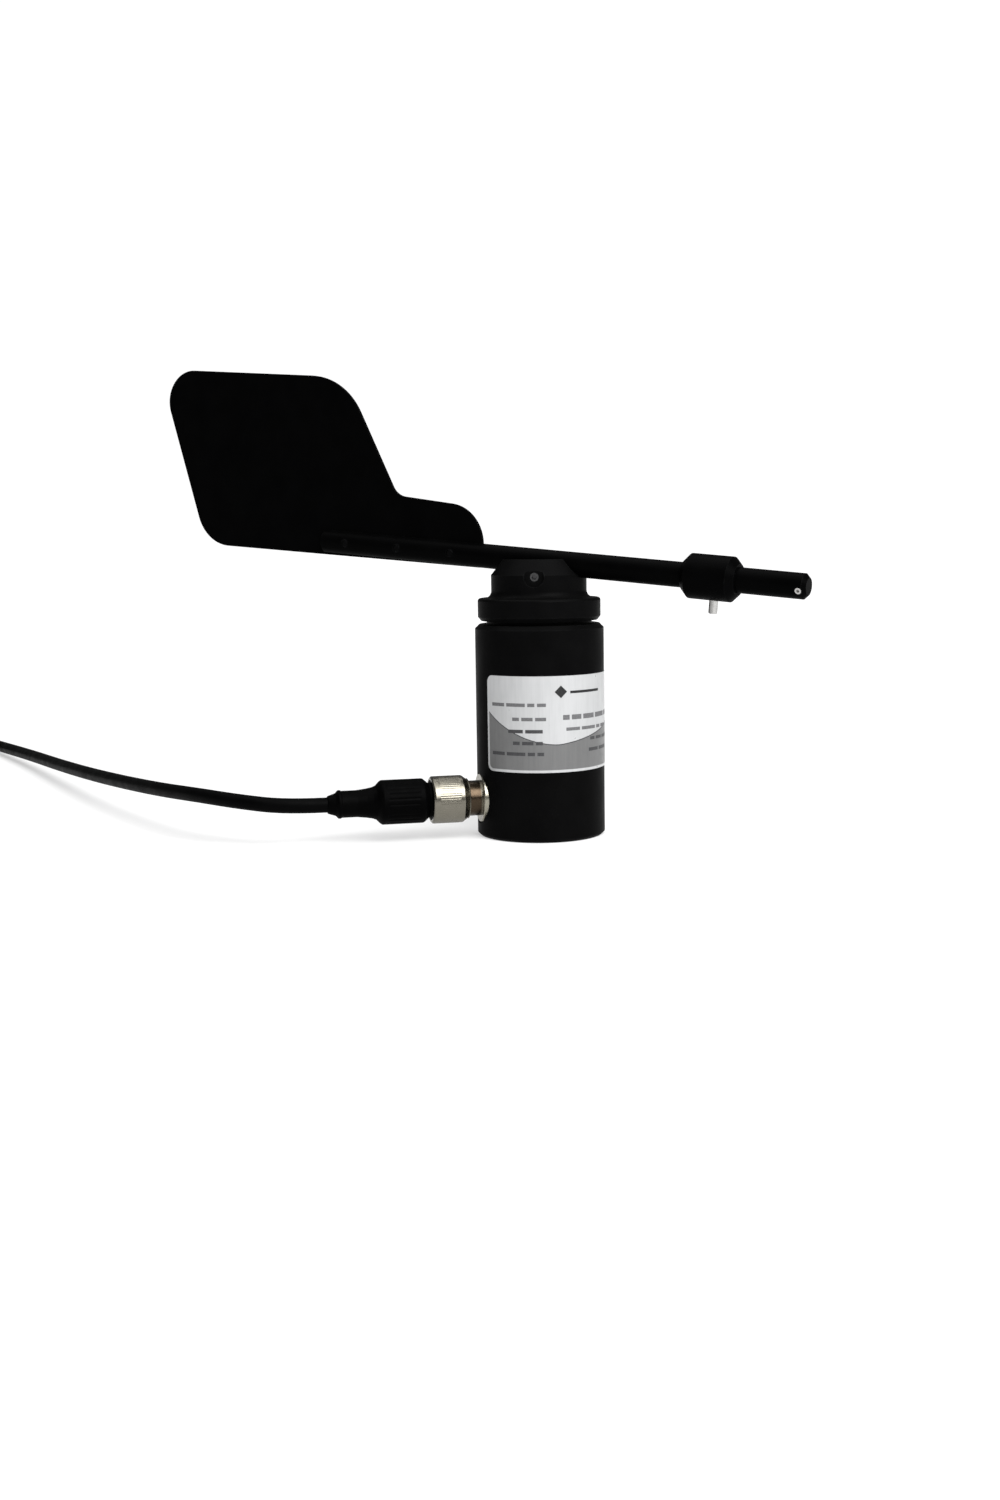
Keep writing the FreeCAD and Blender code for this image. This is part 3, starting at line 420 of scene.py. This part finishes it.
def wrapped(name, pieces, inner, outer, which):
    """Thin closed sheets bent round the housing. A piece is (first angle, last angle, low, high), and low
    and high say how high its edges are at each angle (degrees, millimetres)."""
    verts, faces = [], []
    for first, last, low, high in pieces:
        columns = max(2, int(abs(last - first) / 1.25) + 1)
        base = len(verts)
        # closer columns at both ends, where the corners are round
        steps = [0.5 - 0.5 * math.cos(math.pi * k / (columns - 1)) for k in range(columns)]
        for t in steps:
            angle = first + (last - first) * t
            a = math.radians(angle)
            for r, z in ((outer, low(angle)), (outer, high(angle)), (inner, high(angle)), (inner, low(angle))):
                verts.append((r * math.cos(a), r * math.sin(a), z))
        for k in range(columns - 1):
            here, there = base + 4 * k, base + 4 * (k + 1)
            for i in range(4):
                faces.append([here + i, there + i, there + (i + 1) % 4, here + (i + 1) % 4])
        end = base + 4 * (columns - 1)
        faces += [[base, base + 1, base + 2, base + 3], [end + 3, end + 2, end + 1, end]]
    return finished(name, verts, faces, which, "housing")


# ---------------------------------------------------------------- the label
LABEL_FROM, LABEL_TO, LABEL_LOW, LABEL_HIGH = 203.0, 383.0, 21.6, 50.9
FOIL_OUT, INK = 20.1, 0.014                      # the foil's face, and how thick its print is
DEGREE = math.radians(1) * FOIL_OUT              # millimetres round the foil in one degree


def corner_inset(angle, first, last, radius):
    """How far a rounded corner pulls the edge in at that angle, in millimetres."""
    x = min(angle - first, last - angle) * DEGREE
    return radius - math.sqrt(max(0.0, radius ** 2 - (radius - x) ** 2)) if x < radius else 0.0


def rounded_sheet(first, last, low, high, radius):
    return (first, last, lambda a: low + corner_inset(a, first, last, radius),
            lambda a: high - corner_inset(a, first, last, radius))


def swell(angle):
    """The wave that parts the label's light field from its grey one."""
    middle, bottom = 272.0, 29.9
    if angle < middle:
        return bottom + 9.7 * ((middle - angle) / 67.0) ** 1.9
    return bottom + 3.55 * ((angle - middle) / 50.0) ** 1.3


def words(first, last, level, height, seed):
    """A printed row as plain bars of one height and uneven lengths. It spells nothing."""
    low, high = level - height / 2, level + height / 2
    pieces, at, k = [], first, seed
    while at < last - 2.5:
        end = min(last, at + (2.2 + 1.3 * ((k * 5 + seed) % 4)) / DEGREE)
        pieces.append((at, end, lambda a: low, lambda a: high))
        at, k = end + 0.75 / DEGREE, k + 1
    return pieces


def make_label():
    foil = wrapped("label_sheet", [rounded_sheet(LABEL_FROM, LABEL_TO, LABEL_LOW, LABEL_HIGH, 2.2)],
                   BODY_R, FOIL_OUT, "foil")
    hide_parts("label")
    rim = 0.8
    first, last = LABEL_FROM + rim / DEGREE, LABEL_TO - rim / DEGREE
    low = LABEL_LOW + rim
    wrapped("label_field", [(first, last, lambda a: low + corner_inset(a, first, last, 1.6), swell)],
            FOIL_OUT, FOIL_OUT + INK, "band")
    wrapped("label_line", [(first, last, lambda a: swell(a) + 0.01, lambda a: swell(a) + 0.32)],
            FOIL_OUT, FOIL_OUT + INK, "soft_ink")
    rows = words(209.5, 261, 42.2, 1.05, 1) + words(231, 261, 37.9, 1.05, 2)
    rows += words(276, 345, 38.3, 1.5, 4) + words(279, 342, 34.7, 1.0, 5)
    wrapped("label_print", rows, FOIL_OUT, FOIL_OUT + INK, "grey_ink")
    low_rows = words(227, 258, 34.2, 1.05, 3) + words(231.5, 258, 30.6, 1.05, 6) + words(209.5, 259, 27.3, 1.05, 7)
    low_rows += words(305, 345, 31.3, 0.95, 8) + words(303, 340, 27.9, 1.05, 9) + words(352, 376, 27.9, 1.05, 10)
    wrapped("label_print_low", low_rows, FOIL_OUT + INK, FOIL_OUT + 2 * INK, "soft_ink")
    # a plain mark: a lozenge and a bar
    middle, half, tall = 274.3, 5.6, 1.9
    lozenge = (middle - half, middle + half, lambda a: 46.1 - tall * (1 - abs(a - middle) / half) - 0.02,
               lambda a: 46.1 + tall * (1 - abs(a - middle) / half) + 0.02)
    bar = (283.0, 318.0, lambda a: 45.5, lambda a: 46.3)
    wrapped("label_mark", [lozenge, bar], FOIL_OUT, FOIL_OUT + INK, "ink")


make_label()

# ---------------------------------------------------------------- the cable
CABLE = 4.7                                     # diameter
# straight out of the plug, a low hump, then down to the floor and away (millimetres)
ROUTE = [
    (-67.5, 0.0, 11.9), (-80.0, 0.0, 11.9), (-93.5, 4.8, 13.4), (-105.5, 18.0, 14.1), (-115.5, 39.0, 13.1),
    (-126.0, 69.0, 11.5), (-138.0, 108.0, 9.5), (-151.0, 157.0, 7.1), (-165.5, 213.0, 4.9), (-182.5, 268.0, 3.1),
    (-203.0, 321.0, 2.5),
]
COIL_MID, COIL_STEP, COIL_TURNS, COIL_LOW = 28.0, 4.75, 4, 2.8
POINTS_PER_TURN = 16
COIL_OUT = COIL_MID + COIL_STEP * COIL_TURNS / 2
COIL_IN = COIL_MID - COIL_STEP * COIL_TURNS / 2
COIL_HIGH = COIL_LOW + CABLE + 0.04
entry = Vector((ROUTE[-1][0], ROUTE[-1][1], 0))
heading = (entry - Vector((ROUTE[-2][0], ROUTE[-2][1], 0))).normalized()
left = Vector((-heading.y, heading.x, 0))
coil_at = entry + left * COIL_OUT
leave = coil_at + left * COIL_OUT
back = -heading


def coil_place(turns):
    """Radius and height after so many turns: four inward on the floor, half a turn up, four outward on top."""
    if turns <= COIL_TURNS:
        return COIL_OUT - COIL_STEP * turns, COIL_LOW
    if turns <= COIL_TURNS + 0.5:
        t = (turns - COIL_TURNS) * 2
        return COIL_IN - 0.7 * math.sin(math.pi * t), COIL_LOW + (COIL_HIGH - COIL_LOW) * t * t * (3 - 2 * t)
    return COIL_IN + COIL_STEP * (turns - COIL_TURNS - 0.5), COIL_HIGH


def coil_ray(turns):
    a = 2 * math.pi * turns
    return heading * math.sin(a) - left * math.cos(a)


def coil_points():
    n = POINTS_PER_TURN
    points = []
    for k in range(int((2 * COIL_TURNS + 0.5) * n) + 1):
        r, z = coil_place(k / n)
        at = coil_at + coil_ray(k / n) * r / math.cos(math.pi / n)      # a spline runs inside its points
        points.append((at.x, at.y, z))
    return points


def last_points():
    """From the coil's outer upper turn to the far plug's tail, which lies on its nut."""
    sag = [leave + back * 16.0, leave + back * 33.0 + left * 2.2]
    out = (back * 17.0 + left * 2.8).normalized()
    first = sag[1] + out * 14.0
    second = first + out * 9.0 + left * 0.6
    return [(sag[0].x, sag[0].y, 6.9), (sag[1].x, sag[1].y, 6.6), (first.x, first.y, 7.4), (second.x, second.y, 7.4)]


def make_cable():
    points = ROUTE[:-1] + coil_points() + last_points()
    curve = bpy.data.curves.new("cable", "CURVE")
    curve.dimensions = "3D"
    spline = curve.splines.new("NURBS")
    spline.points.add(len(points) - 1)
    for p, (x, y, z) in zip(spline.points, points):
        p.co = (x * MM, y * MM, z * MM, 1.0)
    spline.order_u = 3
    spline.use_endpoint_u = True
    spline.resolution_u = 6
    curve.bevel_depth = CABLE / 2 * MM
    curve.bevel_resolution = 6
    curve.use_fill_caps = True
    obj = bpy.data.objects.new("cable", curve)
    bpy.context.scene.collection.objects.link(obj)
    curve.materials.append(skins["jacket"])
    return obj


cable = make_cable()
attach(cable, "housing")
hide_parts("cable_tube", "cable_coil", "cable_end")

# ---------------------------------------------------------------- the plugs on the cable
NUT_R, GRIP_R, SLEEVE_R, TAIL = 7.37, 6.9, 4.15, 67.5
GRIP_FLUTES, NUT_TEETH = 24, 66
NUT = [(6.1, 23.9), (6.3, 23.7), (NUT_R - 1.3, 23.9), (NUT_R - 0.2, 25.4), (NUT_R, 25.7), (NUT_R, 34.9),
       (NUT_R - 0.5, 35.4), (6.22, 35.4), (6.22, 33.0), (6.65, 33.0), (6.65, 31.3), (6.1, 31.0)]
GRIP = [(4.3, 31.4), (6.5, 31.4), (6.5, 32.9), (6.12, 32.9), (6.12, 35.2), (5.4, 35.4), (5.4, 36.2),
        (GRIP_R - 0.15, 37.7), (GRIP_R, 38.1), (GRIP_R, 50.7), (GRIP_R - 0.35, 51.3), (5.3, 52.5), (4.85, 53.6),
        (4.5, 55.5), (SLEEVE_R, 58.5), (SLEEVE_R, 63.2), (4.4, 63.5), (4.4, 64.2), (3.5, 65.0),
        (2.75, TAIL - 0.2), (2.55, TAIL), (0, TAIL), (0, 33.0), (4.3, 33.0)]


def fade(s, first, last, run):
    """1 between first and last, easing to 0 over run at each end."""
    t = max(0.0, min(1.0, (s - first) / run, (last - s) / run))
    return t * t * (3 - 2 * t)


def grip_flute(r, s, a):
    """Shallow finger flutes along the grip."""
    if r > GRIP_R - 0.1:
        return 0.16 * fade(s, 39.0, 49.8, 1.0) * max(0.0, math.cos(a * GRIP_FLUTES)) ** 2
    return 0.0


def nut_teeth(r, s, a):
    return 0.07 * fade(s, 26.6, 33.6, 0.5) * (0.5 + 0.5 * math.cos(a * NUT_TEETH)) if r > NUT_R - 0.05 else 0.0


def make_plug(prefix, origin, axis):
    nut = turned(prefix + "coupling_ring", between(NUT, 0.5), origin, axis, "nickel", prefix + "coupling_nut",
                 segments=NUT_TEETH * 4, edge=0.15, flute=nut_teeth)
    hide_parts(prefix + "coupling_nut")
    grip = turned(prefix + "plug_body", between(GRIP, 0.45), origin, axis, "moulding", "housing",
                  segments=GRIP_FLUTES * 8, edge=0.2, flute=grip_flute)
    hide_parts(prefix + "plug_grip")
    return [nut, grip]


near_plug = make_plug("", (0, 0, PLUG_LEVEL), OUT)
tail_from, tail_to = (Vector(p) for p in last_points()[-2:])
tail_way = (tail_to - tail_from).normalized()
far_plug = make_plug("far_", tail_to + tail_way * TAIL, -tail_way)

# ---------------------------------------------------------------- ties round the put-away coil
TIE_WIDE, TIE_THICK = 3.6, 0.4


def coil_tie(name, share):
    """A flat strap drawn tight round the turns that pass at that share of a turn, with its head on top."""
    ray = coil_ray(share)
    round_way = Vector((-ray.y, ray.x, 0))
    radii = [coil_place(n + share)[0] for n in range(2 * COIL_TURNS + 1) if n + share <= 2 * COIL_TURNS + 0.5]
    inside, outside = min(radii) - CABLE / 2 - 0.05, max(radii) + CABLE / 2 + 0.05
    middle = (inside + outside) / 2
    low, high = COIL_LOW - CABLE / 2 - 0.03, COIL_HIGH + CABLE / 2 + 0.05
    corner, loop = CABLE / 2, []
    for cx, cz, start in ((outside - corner, high - corner, 0), (inside + corner, high - corner, 90),
                          (inside + corner, low + corner, 180), (outside - corner, low + corner, 270)):
        for k in range(7):
            b = math.radians(start + 15 * k)
            loop.append((cx, cz, math.cos(b), math.sin(b)))
    verts, faces = [], []
    for cx, cz, nx, nz in loop:
        for grow, side in ((0, -1), (TIE_THICK, -1), (TIE_THICK, 1), (0, 1)):
            r, z = cx + nx * (corner + grow), cz + nz * (corner + grow)
            verts.append(tuple(coil_at + ray * r + round_way * side * TIE_WIDE / 2 + Vector((0, 0, z))))
    n = len(loop)
    for k in range(n):
        here, there = 4 * k, 4 * ((k + 1) % n)
        faces += [[here + i, there + i, there + (i + 1) % 4, here + (i + 1) % 4] for i in range(4)]
    head = len(verts)
    for z in (high + TIE_THICK - 0.1, high + TIE_THICK + 2.0):
        for x, y in ((-3, -2.6), (3, -2.6), (3, 2.6), (-3, 2.6)):
            verts.append(tuple(coil_at + ray * (middle + x) + round_way * y + Vector((0, 0, z))))
    faces += [[head + i for i in f] for f in ((3, 2, 1, 0), (4, 5, 6, 7), (0, 1, 5, 4), (1, 2, 6, 5),
                                              (2, 3, 7, 6), (3, 0, 4, 7))]
    tie = finished(name, verts, faces, "tie", "housing")
    soft = tie.modifiers.new("soft_edges", "BEVEL")
    soft.width, soft.segments, soft.limit_method = 0.12 * MM, 2, "ANGLE"
    return tie


# the two layers lie in line a quarter and three quarters of the way round
ties = [coil_tie("coil_tie_%d" % (i + 1), share) for i, share in enumerate((0.25, 0.75))]

# ---------------------------------------------------------------- floor, light and world
FLOOR_GLOW_REACH, FLOOR_GLOW = (0.3, 1.4), (0.50, 1.02)      # metres from the origin, and the glow there
SEEN, CAST = 1.05, 0.18                         # the world's strength: as it is seen, and as it lights


def make_stage():
    """A pale sheet of paper that glows more the further out it is, so that it stays white to the horizon."""
    bm = bmesh.new()
    bmesh.ops.create_grid(bm, x_segments=8, y_segments=8, size=8.0)
    mesh = bpy.data.meshes.new("floor")
    bm.to_mesh(mesh)
    bm.free()
    floor = bpy.data.objects.new("floor", mesh)
    bpy.context.scene.collection.objects.link(floor)
    floor.location.z = -0.0001
    p = Paint("floor_paper", (0.42, 0.42, 0.42), 0.8, specular=0.05)
    p.shader.inputs["Emission Color"].default_value = (1.0, 1.0, 1.0, 1.0)
    away = p.node("ShaderNodeVectorMath", operation="LENGTH")
    p.link(p.where, away.inputs[0])
    glow = p.remap(away.outputs["Value"], *FLOOR_GLOW_REACH, *FLOOR_GLOW)
    p.link(glow, p.shader.inputs["Emission Strength"])
    p.bump(p.noise(3.0, 4.0), 0.05, 0.05)
    mesh.materials.append(p.mat)


def area_light(name, at, target, size, watts):
    data = bpy.data.lights.new(name, "AREA")
    data.shape, data.size, data.size_y = "RECTANGLE", size[0], size[1]
    data.energy = watts
    light = bpy.data.objects.new(name, data)
    bpy.context.scene.collection.objects.link(light)
    light.location = at
    light.rotation_mode = "QUATERNION"
    light.rotation_quaternion = (Vector(target) - Vector(at)).to_track_quat("-Z", "Y")


def make_world(shown, cast):
    """White where it is seen, and dimmer as a source of light, as in a studio with a lit backdrop."""
    world = bpy.data.worlds.new("studio")
    world.use_nodes = True
    tree = world.node_tree
    background = tree.nodes["Background"]
    background.inputs["Color"].default_value = (1, 1, 1, 1)
    path = tree.nodes.new("ShaderNodeLightPath")
    strength = tree.nodes.new("ShaderNodeMapRange")
    strength.inputs["To Min"].default_value = cast
    strength.inputs["To Max"].default_value = shown
    tree.links.new(path.outputs["Is Camera Ray"], strength.inputs["Value"])
    tree.links.new(strength.outputs["Result"], background.inputs["Strength"])
    bpy.context.scene.world = world


make_stage()
make_world(SEEN, CAST)
bpy.context.scene.view_settings.view_transform = "Standard"
area_light("key", (0.26, -0.64, 0.66), (0, 0, 0.05), (0.7, 0.7), 15.0)
area_light("overhead", (-0.1, 0.1, 1.5), (-0.05, 0.05, 0), (1.8, 1.8), 22.0)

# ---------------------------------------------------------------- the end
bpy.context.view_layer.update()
